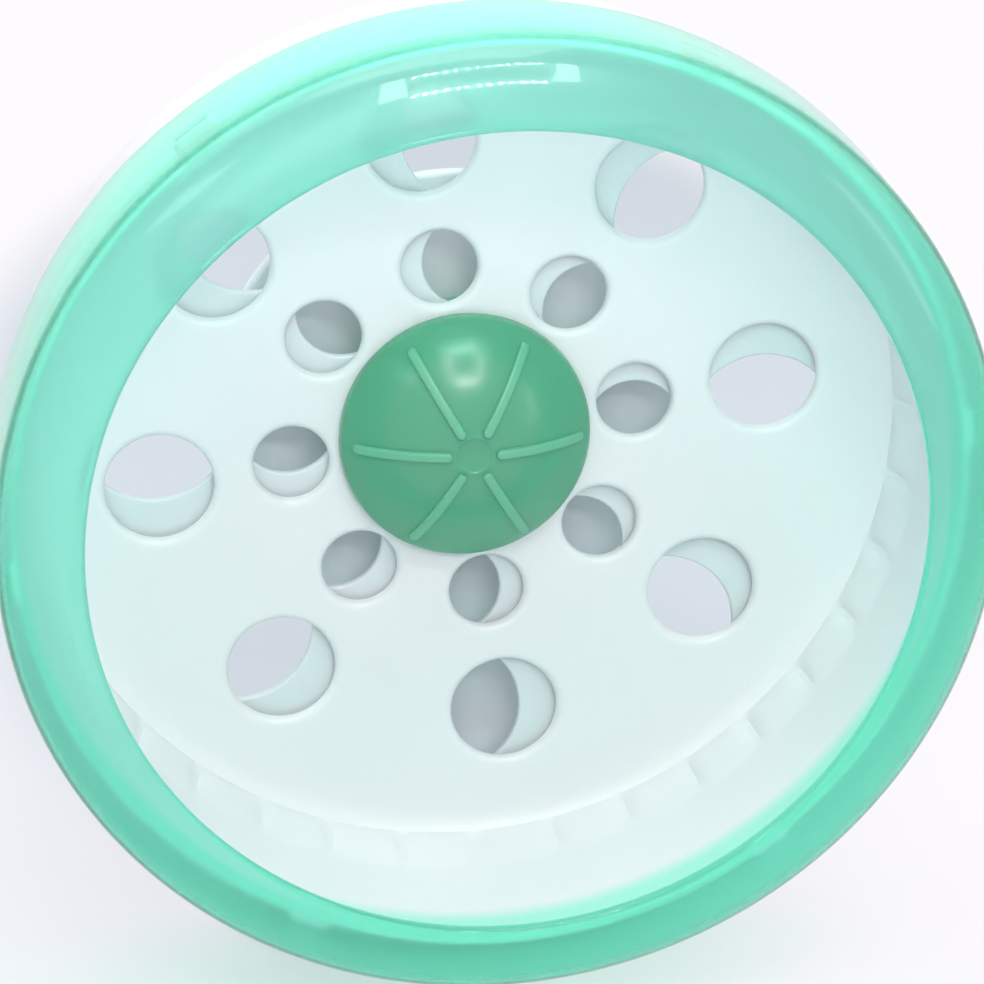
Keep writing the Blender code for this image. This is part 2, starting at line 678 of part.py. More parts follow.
def post_outline():
    """The post seen from the front: a round top on a leg that flares to its foot."""
    foot = axis_height - post_bottom
    points = [(POST_FOOT_HALF_WIDTH, foot), (POST_HALF_WIDTH, foot - POST_FLARE)]
    for step in range(SMALL_STEPS + 1):
        turn = math.pi * step / SMALL_STEPS
        points.append((POST_HALF_WIDTH * math.cos(turn), -POST_HALF_WIDTH * math.sin(turn)))
    points += [(-POST_HALF_WIDTH, foot - POST_FLARE), (-POST_FOOT_HALF_WIDTH, foot)]
    return points


def base_screw_places():
    first = -BASE_SCREW_SPREAD / 2
    return [first + BASE_SCREW_SPREAD * index / (BASE_SCREWS - 1) for index in range(BASE_SCREWS)]


def make_stand_post():
    leg_front = post_front + HEAD_STEP
    post = prism("stand_post", post_outline(), leg_front, post_back, fixed_axis, white_plastic)
    bm = bmesh.new()
    add_rod(bm, HEAD_RADIUS, post_front, post_front + HEAD_THICKNESS, Matrix(), PLATE_STEPS)
    boolean(post, from_bmesh("post_head", bm, fixed_axis, None), "UNION")
    bm = bmesh.new()
    add_rod(bm, BORE_RADIUS, post_front - OVERRUN, post_back + OVERRUN, Matrix(), BEARING_STEPS)
    boolean(post, from_bmesh("post_bore", bm, fixed_axis, None), "DIFFERENCE")
    bm = bmesh.new()
    for x in base_screw_places():
        place = Matrix.Translation((x, lip_y + post_middle, 0))
        top = post_bottom + BASE_SCREW_BITE + GAP
        add_rod(bm, BASE_SCREW_RADIUS + GAP, base_top - OVERRUN, top, place, SCREW_STEPS)
    boolean(post, from_bmesh("post_screw_holes", bm, floor_point, None), "DIFFERENCE")


def foot_places():
    """Middles of the feet, from the base's middle: name, x and y."""
    places = []
    for end, angle, sign in (("front", FRONT_FOOT_ANGLE, -1), ("rear", REAR_FOOT_ANGLE, 1)):
        for side, across in (("left", -1), ("right", 1)):
            x = across * FOOT_CIRCLE * math.sin(angle)
            y = lip_y + base_middle + sign * FOOT_CIRCLE * math.cos(angle)
            places.append((end + "_" + side, x, y))
    return places


def make_base():
    points = [(0, base_top), (BASE_RADIUS - BASE_EDGE, base_top)]
    for step in range(1, CORNER_STEPS + 1):
        turn = math.pi / 2 * step / CORNER_STEPS
        points.append((BASE_RADIUS - BASE_EDGE + BASE_EDGE * math.sin(turn),
                       base_top - BASE_EDGE + BASE_EDGE * math.cos(turn)))
    points += [(BASE_RADIUS, FOOT_HEIGHT), (0, FOOT_HEIGHT)]
    base = turned("base", points, PLATE_STEPS, base_point, white_plastic)
    bm = bmesh.new()
    for name, x, y in foot_places():
        place = Matrix.Translation((x, y, 0))
        high = FOOT_HEIGHT + FOOT_SOCKET
        add_rod(bm, FOOT_RADIUS + GAP, FOOT_HEIGHT - OVERRUN, high, place)
    boolean(base, from_bmesh("foot_sockets", bm, floor_point, None), "DIFFERENCE")
    bm = bmesh.new()
    head_top = FOOT_HEIGHT + BASE_SCREW_SINK + BASE_SCREW_HEAD + GAP
    wide = BASE_SCREW_HEAD_RADIUS + GAP
    narrow = BASE_SCREW_RADIUS + GAP
    for x in base_screw_places():
        place = Matrix.Translation((x, lip_y + post_middle, 0))
        add_rod(bm, wide, FOOT_HEIGHT - OVERRUN, head_top, place, SCREW_STEPS)
    boolean(base, from_bmesh("base_screw_sinks", bm, floor_point, None), "DIFFERENCE")
    bm = bmesh.new()
    for x in base_screw_places():
        place = Matrix.Translation((x, lip_y + post_middle, 0))
        add_rod(bm, narrow, FOOT_HEIGHT, base_top + OVERRUN, place, SCREW_STEPS)
    boolean(base, from_bmesh("base_screw_holes", bm, floor_point, None), "DIFFERENCE")


def make_base_screws():
    low = FOOT_HEIGHT + BASE_SCREW_SINK
    seat = low + BASE_SCREW_HEAD
    tip = post_bottom + BASE_SCREW_BITE
    outline = [(0, low), (BASE_SCREW_HEAD_RADIUS, low), (BASE_SCREW_HEAD_RADIUS, seat),
               (BASE_SCREW_RADIUS, seat), (BASE_SCREW_RADIUS, tip), (0, tip)]
    for number, x in enumerate(base_screw_places(), 1):
        name = "base_screw_" + str(number)
        screw = turned(name, outline, SCREW_STEPS, floor_point, zinc_steel)
        screw.location = (x, lip_y + post_middle, 0)


def make_feet():
    top = FOOT_HEIGHT + FOOT_SOCKET - GAP
    outline = [(0, top), (FOOT_RADIUS, top), (FOOT_RADIUS, FOOT_EDGE),
               (FOOT_RADIUS - FOOT_EDGE, 0), (0, 0)]
    for name, x, y in foot_places():
        spot = holder("foot_point_" + name, (x, y, 0))
        turned("foot_" + name, outline, SMALL_STEPS, spot, grey_rubber)


clear_scene()
wheel_parts = collection("small_animal_exercise_wheel")
cutters = collection("cutters")

mint_clear = finish("mint_clear_plastic", (0.32, 0.80, 0.64), 0.22, alpha=0.75)
white_plastic = finish("white_plastic", (0.84, 0.89, 0.91), 0.35)
green_plastic = finish("green_plastic", (0.10, 0.42, 0.25), 0.3)
bearing_steel = finish("bearing_steel", (0.62, 0.63, 0.64), 0.2, metallic=1.0)
zinc_steel = finish("zinc_plated_steel", (0.58, 0.60, 0.62), 0.35, metallic=1.0)
cage_nylon = finish("cage_nylon", (0.75, 0.72, 0.62), 0.5)
grey_rubber = finish("grey_rubber", (0.22, 0.23, 0.24), 0.8)

lip_place = (0, lip_y, axis_height)
along_y = (-math.pi / 2, 0, 0)
wheel_axis = holder("wheel_axis", lip_place, along_y)
fixed_axis = holder("fixed_axis", lip_place, along_y)
front_middle = lip_y + front_bearing_front + BEARING_WIDTH / 2
front_ball_axis = holder("front_ball_axis", (0, front_middle, axis_height), along_y)
rear_middle = lip_y + rear_bearing_front + BEARING_WIDTH / 2
rear_ball_axis = holder("rear_ball_axis", (0, rear_middle, axis_height), along_y)
floor_point = holder("floor_point", (0, 0, 0))
base_point = holder("base_point", (0, lip_y + base_middle, 0))

make_front_ring()
make_running_drum()
make_rear_plate()
make_hub_cap()
make_hub_housing()
make_hub_screws()
make_bearing("front_bearing", front_bearing_front, wheel_axis, front_ball_axis, fixed_axis)
make_bearing("rear_bearing", rear_bearing_front, wheel_axis, rear_ball_axis, fixed_axis)
make_axle()
make_stand_post()
make_base()
make_base_screws()
make_feet()
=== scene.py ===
"""Small animal exercise wheel: how every piece looks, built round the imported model.

The wheel turns about an axle along Y, with its open front towards -Y. Turned pieces are drawn as
(radius, depth) points: a radius from the axle and a depth behind the front lip of the wheel.
"""

import math

import bmesh
import bpy
from mathutils import Matrix, Vector


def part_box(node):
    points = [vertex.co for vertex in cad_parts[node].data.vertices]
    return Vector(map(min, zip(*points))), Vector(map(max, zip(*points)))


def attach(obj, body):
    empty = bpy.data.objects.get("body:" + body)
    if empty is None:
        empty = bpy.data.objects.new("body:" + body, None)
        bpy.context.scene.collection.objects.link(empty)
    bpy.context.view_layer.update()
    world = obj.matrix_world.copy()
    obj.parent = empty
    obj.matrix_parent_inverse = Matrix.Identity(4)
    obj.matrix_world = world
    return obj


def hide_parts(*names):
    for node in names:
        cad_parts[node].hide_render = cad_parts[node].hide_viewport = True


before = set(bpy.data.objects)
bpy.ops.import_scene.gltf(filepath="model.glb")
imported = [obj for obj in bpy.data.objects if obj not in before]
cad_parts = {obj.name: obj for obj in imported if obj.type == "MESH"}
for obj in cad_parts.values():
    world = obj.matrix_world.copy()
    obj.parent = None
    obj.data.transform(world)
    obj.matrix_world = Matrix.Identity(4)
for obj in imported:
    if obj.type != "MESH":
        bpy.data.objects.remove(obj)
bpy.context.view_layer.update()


# Rubber feet: four soft discs that sit in shallow sockets under the base.
# They are moulded thermoplastic rubber, pressed in, with a small chamfer on the floor side.
def linear(colour):
    """The linear values of an sRGB colour such as #E6F1F4."""
    shares = [int(colour[place:place + 2], 16) / 255 for place in (1, 3, 5)]
    return [s / 12.92 if s <= 0.04045 else ((s + 0.055) / 1.055) ** 2.4 for s in shares] + [1.0]


def add_node(tree, kind, settings=None, links=None):
    """Adds a node with settings and links, each by the name or number of an input or a property."""
    node = tree.nodes.new(kind)
    for name, value in (settings or {}).items():
        if isinstance(name, int) or name in node.inputs:
            node.inputs[name].default_value = value
        else:
            setattr(node, name, value)
    for name, socket in (links or {}).items():
        tree.links.new(socket, node.inputs[name])
    return node


def bare_material(name):
    """A new material with an empty tree, and the object's own coordinates in it."""
    material = bpy.data.materials.new(name)
    material.use_nodes = True
    tree = material.node_tree
    tree.nodes.clear()
    return material, tree, add_node(tree, "ShaderNodeTexCoord").outputs["Object"]


def noise(tree, place, size, detail):
    """Soft noise from 0 to 1, with spots of about a size."""
    return add_node(tree, "ShaderNodeTexNoise", {"Scale": 1 / size, "Detail": detail},
                    {"Vector": place}).outputs["Fac"]


def blend(tree, first, second, share):
    """A colour between two sRGB colours."""
    return add_node(tree, "ShaderNodeMix", {"data_type": "RGBA", 6: linear(first), 7: linear(second)},
                    {0: share}).outputs[2]


def spread(tree, share, low, high):
    """A number between low and high."""
    return add_node(tree, "ShaderNodeMapRange", {"To Min": low, "To Max": high},
                    {"Value": share}).outputs[0]


def bump(tree, height, strength, depth, **under):
    """The normal of fine bumps, over the Normal of coarser ones where it is given."""
    return add_node(tree, "ShaderNodeBump", {"Strength": strength, "Distance": depth},
                    {"Height": height, **under}).outputs[0]


def moulded_rubber(name, colour):
    """Soft rubber: dark, dull and finely pitted, with dust-grey patches where it is handled."""
    pit_size = 0.0006
    patch_size = 0.006
    material, tree, place = bare_material(name)
    pits = noise(tree, place, pit_size, detail=2.0)
    patches = noise(tree, place, patch_size, detail=3.0)
    shader = add_node(tree, "ShaderNodeBsdfPrincipled", {"IOR": 1.5},
                      {"Base Color": blend(tree, colour, "#6E7173", patches),
                       "Roughness": spread(tree, pits, low=0.65, high=0.9),
                       "Normal": bump(tree, pits, strength=0.4, depth=0.0001)})
    add_node(tree, "ShaderNodeOutputMaterial", {}, {"Surface": shader.outputs[0]})
    return material


def round_off(bm, items, radius, segments, kind="EDGES"):
    """Rounds edges, or corners of a line where the kind is VERTICES."""
    bmesh.ops.bevel(bm, geom=items, offset=radius, offset_type="OFFSET", segments=segments,
                    profile=0.5, affect=kind, material=-1)


def add_line(bm, outline, rounds):
    """Adds a line of (radius, height) points, with rounds as radii by point number."""
    points = [bm.verts.new((radius, 0, height)) for radius, height in outline]
    for pair in zip(points, points[1:]):
        bm.edges.new(pair)
    for number, radius in rounds.items():
        round_off(bm, [points[number]], radius, segments=4, kind="VERTICES")


def turn_line(bm, steps, middle=(0, 0, 0)):
    """Turns the loose line about an upright axis into a wall."""
    line = [edge for edge in bm.edges if edge.is_wire]
    ends = list({vert for edge in line for vert in edge.verts})
    bmesh.ops.spin(bm, geom=ends + line, cent=middle, axis=(0, 0, 1), steps=steps,
                   angle=math.tau, use_merge=True)


def turned(outline, rounds, steps):
    bm = bmesh.new()
    add_line(bm, outline, rounds)
    turn_line(bm, steps)
    return bm


def make_piece(name, bm, place, material, body, nodes=(), crease=32):
    """Turns a bmesh into a piece that rides on a body and stands for the nodes it replaces."""
    bmesh.ops.remove_doubles(bm, verts=bm.verts, dist=0.000005)
    bmesh.ops.transform(bm, matrix=place, verts=bm.verts)
    bmesh.ops.recalc_face_normals(bm, faces=bm.faces)
    mesh = bpy.data.meshes.new(name)
    bm.to_mesh(mesh)
    bm.free()
    mesh.materials.append(material)
    mesh.shade_smooth()
    mesh.set_sharp_from_angle(angle=math.radians(crease))
    piece = bpy.data.objects.new(name, mesh)
    bpy.context.scene.collection.objects.link(piece)
    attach(piece, body)
    if nodes:
        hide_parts(*nodes)
    return piece


def radius_of(node):
    """Half the width of a round node."""
    low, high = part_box(node)
    return (high.x - low.x) / 2


foot_rubber = moulded_rubber("grey_thermoplastic_rubber", "#54575A")
feet = ["foot_" + corner for corner in ("front_left", "front_right", "rear_left", "rear_right")]
foot_edge = 0.0003
foot_chamfer = 0.0005
foot_facets = 48
dish_depth = 0.0004
dish_share = 0.6
for node in feet:
    foot_low, foot_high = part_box(node)
    foot_radius = radius_of(node)
    foot_place = Matrix.Translation((foot_low.x + foot_radius, foot_low.y + foot_radius, 0))
    dish_radius = foot_radius * dish_share
    foot_outline = [(0, dish_depth), (dish_radius, dish_depth), (dish_radius, 0), (foot_radius, 0),
                    (foot_radius, foot_high.z), (0, foot_high.z)]
    foot = turned(foot_outline, {2: foot_edge, 3: foot_chamfer, 4: foot_edge}, steps=foot_facets)
    make_piece("rubber_" + node, foot, foot_place, foot_rubber, "stand", [node])


# Base: the round weighted foot of the stand, a solid ABS moulding with a rounded top edge.
# Its underside has sockets for the feet and sinks for the two screws that hold the post.
def moulded_plastic(name, colour, shade, roughness, subsurface, cloud_size=0.03):
    """Injection moulded ABS: satin, with a faint orange peel and slow changes of tone."""
    peel_size = 0.0012
    speck_size = 0.0003
    roughness_spread = 0.06
    material, tree, place = bare_material(name)
    clouds = noise(tree, place, cloud_size, detail=2.0)
    peel = noise(tree, place, peel_size, detail=1.0)
    specks = noise(tree, place, speck_size, detail=2.0)
    satin = spread(tree, specks, roughness - roughness_spread, roughness + roughness_spread)
    waves = bump(tree, peel, strength=0.12, depth=0.00005)
    shader = add_node(tree, "ShaderNodeBsdfPrincipled",
                      {"IOR": 1.54, "Subsurface Weight": subsurface,
                       "Subsurface Radius": (0.003, 0.003, 0.003), "Subsurface Scale": 1.0},
                      {"Base Color": blend(tree, colour, shade, clouds), "Roughness": satin,
                       "Normal": bump(tree, specks, strength=0.08, depth=0.00002, Normal=waves)})
    add_node(tree, "ShaderNodeOutputMaterial", {}, {"Surface": shader.outputs[0]})
    return material


def add_hole(bm, centre, outline, rounds, steps):
    """Adds the wall of a hole, turned from (radius, height) points about its own centre."""
    x, y = centre
    add_line(bm, outline, rounds)
    loose = [vert for vert in bm.verts if vert.is_wire or not vert.link_faces]
    bmesh.ops.translate(bm, verts=loose, vec=(x, y, 0))
    turn_line(bm, steps, (x, y, 0))


def fill_flat(bm, height):
    """Fills the flat face at a height, round the holes in it."""
    edges = [edge for edge in bm.edges if edge.is_boundary
             and all(abs(vert.co.z - height) < 0.00001 for vert in edge.verts)]
    bmesh.ops.triangle_fill(bm, edges=edges, use_beauty=True)


white_abs = moulded_plastic("white_abs", "#F0EFF1", "#EBEBEE", roughness=0.36, subsurface=0.1)
fit_gap = 0.0003
flat_rim = 0.0004
sink_edge = 0.0002
sink_facets = 24
screw_sink_depth = 0.0033
base_top_edge = 0.003
base_under_edge = 0.0006
base_under_rim = 0.002
base_low, base_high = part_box("base")
base_radius = radius_of("base")
base_middle_y = (base_high.y + base_low.y) / 2
base = turned([(0, base_high.z), (base_radius, base_high.z), (base_radius, base_low.z),
               (base_radius - base_under_rim, base_low.z)],
              {1: base_top_edge, 2: base_under_edge}, steps=160)


def add_sink(node, top, steps):
    """Sinks a round hole into the base from below, round the node that sits in it."""
    low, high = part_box(node)
    radius = radius_of(node)
    wall = radius + fit_gap
    centre = (low.x + radius, low.y + radius - base_middle_y)
    add_hole(base, centre, [(0, top), (wall, top), (wall, base_low.z),
                            (wall + flat_rim, base_low.z)], {2: sink_edge}, steps)


for node in feet:
    add_sink(node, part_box(node)[1].z, foot_facets)
for node in ("base_screw_1", "base_screw_2"):
    add_sink(node, base_low.z + screw_sink_depth, sink_facets)
fill_flat(base, base_low.z)
make_piece("weighted_base", base, Matrix.Translation((0, base_middle_y, 0)), white_abs, "stand",
           ["base"])


# Stand post: a stiff ABS leg with a round top, screwed to the base from below.
# A thin disc round its head stands out towards the wheel and hides the hub from behind.
wheel_low, wheel_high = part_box("front_ring")
wheel_radius = radius_of("front_ring")
axle_height = (wheel_high.z + wheel_low.z) / 2
lip_y = wheel_low.y
on_axle = Matrix.Translation((0, lip_y, axle_height)) @ Matrix.Rotation(-math.pi / 2, 4, "X")


def depth_of(node):
    """The depths of a node's front and back behind the wheel's lip."""
    low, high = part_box(node)
    return low.y - lip_y, high.y - lip_y


post_front, post_back = depth_of("stand_post")
post_bore = 0.004
post_head_radius = radius_of("stand_post")
post_head_thickness = 0.003
post_head_edge = 0.0012
post_head_back_edge = 0.0005
leg_set_back = 0.001
leg_front = post_front + leg_set_back
leg_half_width = 0.019
leg_foot_half_width = 0.028
leg_foot = axle_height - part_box("stand_post")[0].z
leg_flare_height = 0.03
leg_flare = leg_foot - leg_flare_height
leg_corner_round = 0.008
leg_edge_round = 0.0015
post = bmesh.new()
top = post.verts.new((leg_half_width, 0, leg_front))
bmesh.ops.spin(post, geom=[top], cent=(0, 0, 0), axis=(0, 0, -1), steps=32, angle=math.pi)
top_arc = sorted(post.verts, key=lambda vert: -vert.co.x)
sides = [(-leg_half_width, leg_flare), (-leg_foot_half_width, leg_foot),
         (leg_foot_half_width, leg_foot), (leg_half_width, leg_flare)]
leg_outline = top_arc + [post.verts.new((x, y, leg_front)) for x, y in sides]
for pair in zip(leg_outline, leg_outline[1:] + leg_outline[:1]):
    if not post.edges.get(pair):
        post.edges.new(pair)
leg_corners = [leg_outline[len(top_arc)], leg_outline[-1]]
round_off(post, leg_corners, leg_corner_round, segments=8, kind="VERTICES")
leg_face = bmesh.ops.contextual_create(post, geom=post.edges[:])["faces"]
leg_back = bmesh.ops.extrude_face_region(post, geom=leg_face)["geom"]
bmesh.ops.translate(post, verts=[item for item in leg_back if isinstance(item, bmesh.types.BMVert)],
                    vec=(0, 0, post_back - leg_front))
flat_edges = [edge for edge in post.edges
              if abs(edge.verts[0].co.z - edge.verts[1].co.z) < 0.0001
              and min(vert.co.y for vert in edge.verts) < leg_foot - 0.0001]
round_off(post, flat_edges, leg_edge_round, segments=4)
post_head_back = post_front + post_head_thickness
add_line(post, [(post_bore, post_front), (post_head_radius, post_front),
                (post_head_radius, post_head_back), (post_bore, post_head_back),
                (post_bore, post_front)], {1: post_head_edge, 2: post_head_back_edge})
turn_line(post, steps=128)
# The post's white ABS is painted cooler and bluer: a painted shade tint for where it sits behind the
# plates.
white_abs_with_painted_cool_shade = moulded_plastic("white_abs_with_painted_cool_shade", "#EAF6F8", "#E4F1F3", roughness=0.36, subsurface=0.1)
make_piece("stand_leg", post, on_axle, white_abs_with_painted_cool_shade, "stand", ["stand_post"])


# Axle: an M8 bolt through the hub and the post, with a nylon-insert nut, shims and a spacer.
# All of it is turned or formed steel with bright zinc plating, rolled threads and a satin sheen.
def plated_steel(name, colour, blush):
    """Bright zinc on steel: pale grey metal with a faint blue and yellow bloom and fine drawing lines."""
    line_width = 0.0004
    line_length = 12
    bloom_size = 0.004
    material, tree, place = bare_material(name)
    drawn = add_node(tree, "ShaderNodeMapping", {"Scale": (1.0, line_length, 1.0)}, {"Vector": place})
    lines = noise(tree, drawn.outputs[0], line_width * line_length, detail=2.0)
    bloom = noise(tree, place, bloom_size, detail=3.0)
    shader = add_node(tree, "ShaderNodeBsdfPrincipled", {"Metallic": 1.0},
                      {"Base Color": blend(tree, colour, blush, bloom),
                       "Roughness": spread(tree, lines, low=0.22, high=0.42),
                       "Normal": bump(tree, lines, strength=0.1, depth=0.00002)})
    add_node(tree, "ShaderNodeOutputMaterial", {}, {"Surface": shader.outputs[0]})
    return material


zinc = plated_steel("zinc_plated_steel", "#C3C7CA", "#CDCBBE")
for node in ("axle_bolt", "lock_nut", "lock_washer", "front_washer", "spacer_sleeve"):
    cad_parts[node].data.materials[0] = zinc
spacer_front, spacer_back = depth_of("rear_spacer")
spacer_radius = radius_of("rear_spacer")
spacer_edge = 0.0003
spacer = turned([(post_bore, spacer_front), (spacer_radius, spacer_front),
                 (spacer_radius, spacer_back), (post_bore, spacer_back), (post_bore, spacer_front)],
                {1: spacer_edge, 2: spacer_edge}, steps=64)
make_piece("rear_spacer_tube", spacer, on_axle, zinc, "stand", ["rear_spacer"])


# Bearings: two standard ball bearings of ground chrome steel, with pressed shields.
# Seven balls run in a snap-in nylon cage; the outer races turn with the wheel.
def ground_steel(name, colour):
    """Ground bearing steel: brighter than plating, with very fine rings left by the stone."""
    ring_pitch = 0.0002
    material, tree, place = bare_material(name)
    rings = noise(tree, place, ring_pitch, detail=1.0)
    shader = add_node(tree, "ShaderNodeBsdfPrincipled", {"Base Color": linear(colour), "Metallic": 1.0},
                      {"Roughness": spread(tree, rings, low=0.1, high=0.22)})
    add_node(tree, "ShaderNodeOutputMaterial", {}, {"Surface": shader.outputs[0]})
    return material


bearing_steel = ground_steel("ground_bearing_steel", "#CFD1D3")
cage_nylon = moulded_plastic("natural_nylon", "#DDD8C6", "#E6E1D2", roughness=0.5, subsurface=0.2,
                             cloud_size=0.004)
for bearing in ("front_bearing", "rear_bearing"):
    steel_nodes = ["outer_race", "inner_race"] + ["ball_" + str(number) for number in range(1, 8)]
    for part in steel_nodes:
        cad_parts[bearing + "_" + part].data.materials[0] = bearing_steel
    for part in ("front_shield", "rear_shield"):
        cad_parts[bearing + "_" + part].data.materials[0] = zinc
    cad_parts[bearing + "_cage"].data.materials[0] = cage_nylon


# Hub housing: a green ABS bush with a flange. Its barrel holds both bearings, and the flange
# lies against the rear plate, where four screws pull it towards the cap.
green_abs = moulded_plastic("green_abs", "#53A37F", "#58A884", roughness=0.22, subsurface=0.05)
housing_front, housing_back = depth_of("hub_housing")
flange_radius = radius_of("hub_housing")
flange_thickness = 0.003
flange_edge = 0.0008
barrel_wall = 0.0022
barrel_foot_round = 0.0005
barrel_edge = 0.0004
land_width = 0.005
land_height = 0.0017
bearing_seat = radius_of("rear_bearing_outer_race") + fit_gap
barrel_radius = bearing_seat + barrel_wall
rear_plate_back = depth_of("rear_plate")[1]
flange_front = rear_plate_back + fit_gap
flange_back = flange_front + flange_thickness
land_front = flange_back - land_width
land_radius = bearing_seat - land_height
housing_outline = [(bearing_seat, housing_front), (barrel_radius, housing_front),
                   (barrel_radius, flange_front), (flange_radius, flange_front),
                   (flange_radius, flange_back), (barrel_radius, flange_back),
                   (barrel_radius, housing_back), (bearing_seat, housing_back),
                   (bearing_seat, flange_back), (land_radius, flange_back),
                   (land_radius, land_front), (bearing_seat, land_front),
                   (bearing_seat, housing_front)]
housing_rounds = {3: flange_edge, 4: flange_edge, 5: flange_edge, 6: barrel_foot_round, 7: barrel_edge}
housing = turned(housing_outline, housing_rounds, steps=96)
make_piece("hub_bush", housing, on_axle, green_abs, "wheel", ["hub_housing"])


# Screws: six self-tapping pan heads with a cross recess, four in the hub and two in the base.
# Their heads are cold formed and zinc plated, and the threads are hidden in the plastic.
cross_width = 0.0007
cross_reach = 0.0015
cross_depth = 0.0009
cross_taper = 0.6
head_under_edge = 0.0002
head_flat_share = 0.7
head_round_share = 0.55


def pan_head_screw(head_radius, head_height, shank_radius, length):
    """A screw about Z: its head's top at 0, its shank running to a negative height."""
    screw = turned([(0, -length), (shank_radius, -length), (shank_radius, -head_height),
                    (head_radius, -head_height), (head_radius, 0),
                    (head_radius * head_flat_share, 0)],
                   {3: head_under_edge, 4: head_height * head_round_share}, steps=40)
    half = cross_width / 2
    corners = [(cross_reach, half), (half, half), (half, cross_reach)]
    cross = []
    for quarter in range(4):
        turn = Matrix.Rotation(quarter * math.pi / 2, 3, "Z")
        cross += [screw.verts.new(turn @ Vector((x, y, 0))) for x, y in corners]
    edges = [screw.edges.new(pair) for pair in zip(cross, cross[1:] + cross[:1])]
    sunk = bmesh.ops.extrude_edge_only(screw, edges=edges)["geom"]
    bottom = [item for item in sunk if isinstance(item, bmesh.types.BMVert)]
    bmesh.ops.translate(screw, verts=bottom, vec=(0, 0, -cross_depth))
    bmesh.ops.scale(screw, verts=bottom, vec=(cross_taper, cross_taper, 1.0))
    fill_flat(screw, 0)
    fill_flat(screw, -cross_depth)
    return screw


hub_screw_head = 0.0018
hub_screw_shank = 0.0013
for number in range(1, 5):
    node = "hub_screw_" + str(number)
    screw_low, screw_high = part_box(node)
    screw_middle = Matrix.Translation(((screw_low.x + screw_high.x) / 2, screw_high.y,
                                       (screw_low.z + screw_high.z) / 2))
    screw = pan_head_screw(radius_of(node), hub_screw_head, hub_screw_shank, screw_high.y - screw_low.y)
    make_piece("hub_cap_screw_" + str(number), screw,
               screw_middle @ Matrix.Rotation(-math.pi / 2, 4, "X"), zinc, "wheel", [node])
base_screw_head = 0.002
base_screw_shank = 0.0015
for number in range(1, 3):
    node = "base_screw_" + str(number)
    screw_low, screw_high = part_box(node)
    screw_middle = Matrix.Translation(((screw_low.x + screw_high.x) / 2,
                                       (screw_low.y + screw_high.y) / 2, screw_low.z))
    screw = pan_head_screw(radius_of(node), base_screw_head, base_screw_shank, screw_high.z - screw_low.z)
    make_piece("post_screw_" + str(number), screw,
               screw_middle @ Matrix.Rotation(math.pi, 4, "X"), zinc, "stand", [node])


# Rear plate: the second perforated white disc, a flat ABS moulding that lies behind the drum.
# Its pad bears on the drum round the hub, and its larger holes are turned against the drum's.
hole_count = 8
hole_start = math.radians(7.7)
small_circle = wheel_radius * 0.363
large_circle = wheel_radius * 0.64
flat_lip = 0.0006


def hole_centres(circle, turn=0.0):
    angles = [hole_start + turn + math.tau * number / hole_count for number in range(hole_count)]
    return [(circle * math.cos(angle), -circle * math.sin(angle)) for angle in angles]


def add_plate_holes(bm, small_radius, large_radius, turn, front, back, front_lip, back_lip):
    """Punches two rings of holes with rounded lips through a plate."""
    for circle, radius in ((small_circle, small_radius), (large_circle, large_radius)):
        for centre in hole_centres(circle, turn):
            add_hole(bm, centre, [(radius + front_lip + flat_rim, front), (radius, front),
                                  (radius, back), (radius + back_lip + flat_rim, back)],
                     {1: front_lip, 2: back_lip}, steps=64)


rear_turn = math.radians(-10.8)
rear_small_radius = wheel_radius * 0.1
rear_large_radius = wheel_radius * 0.157
hub_hole = barrel_radius + fit_gap
rear_plate_thickness = 0.002
rear_plate_edge = 0.0005
rear_plate_radius = radius_of("rear_plate")
rear_plate_flat = rear_plate_radius - flat_lip - flat_rim
rear_plate_front = rear_plate_back - rear_plate_thickness
rear_pad_radius = 0.024
rear_pad_edge = 0.0003
rear_pad_front = depth_of("rear_plate")[0]
rear_plate = turned([(rear_plate_flat, rear_plate_front), (rear_plate_radius, rear_plate_front),
                     (rear_plate_radius, rear_plate_back), (rear_plate_flat, rear_plate_back)],
                    {1: rear_plate_edge, 2: rear_plate_edge}, steps=192)
add_hole(rear_plate, (0, 0), [(rear_pad_radius + flat_rim, rear_plate_front),
                              (rear_pad_radius, rear_plate_front), (rear_pad_radius, rear_pad_front),
                              (hub_hole, rear_pad_front), (hub_hole, rear_plate_back),
                              (hub_hole + flat_rim, rear_plate_back)], {2: rear_pad_edge}, steps=96)
add_plate_holes(rear_plate, rear_small_radius, rear_large_radius, rear_turn, rear_plate_front,
                rear_plate_back, flat_lip, flat_lip)
fill_flat(rear_plate, rear_plate_front)
fill_flat(rear_plate, rear_plate_back)
# The rear disc's white ABS is painted darker: painted shade for the narrow gap behind the drum's plate.
painted_shade_abs = moulded_plastic("white_abs_with_painted_shade", "#E0E6E8", "#DBE2E5", roughness=0.4, subsurface=0.1)
make_piece("rear_disc", rear_plate, on_axle, painted_shade_abs, "wheel", ["rear_plate"])


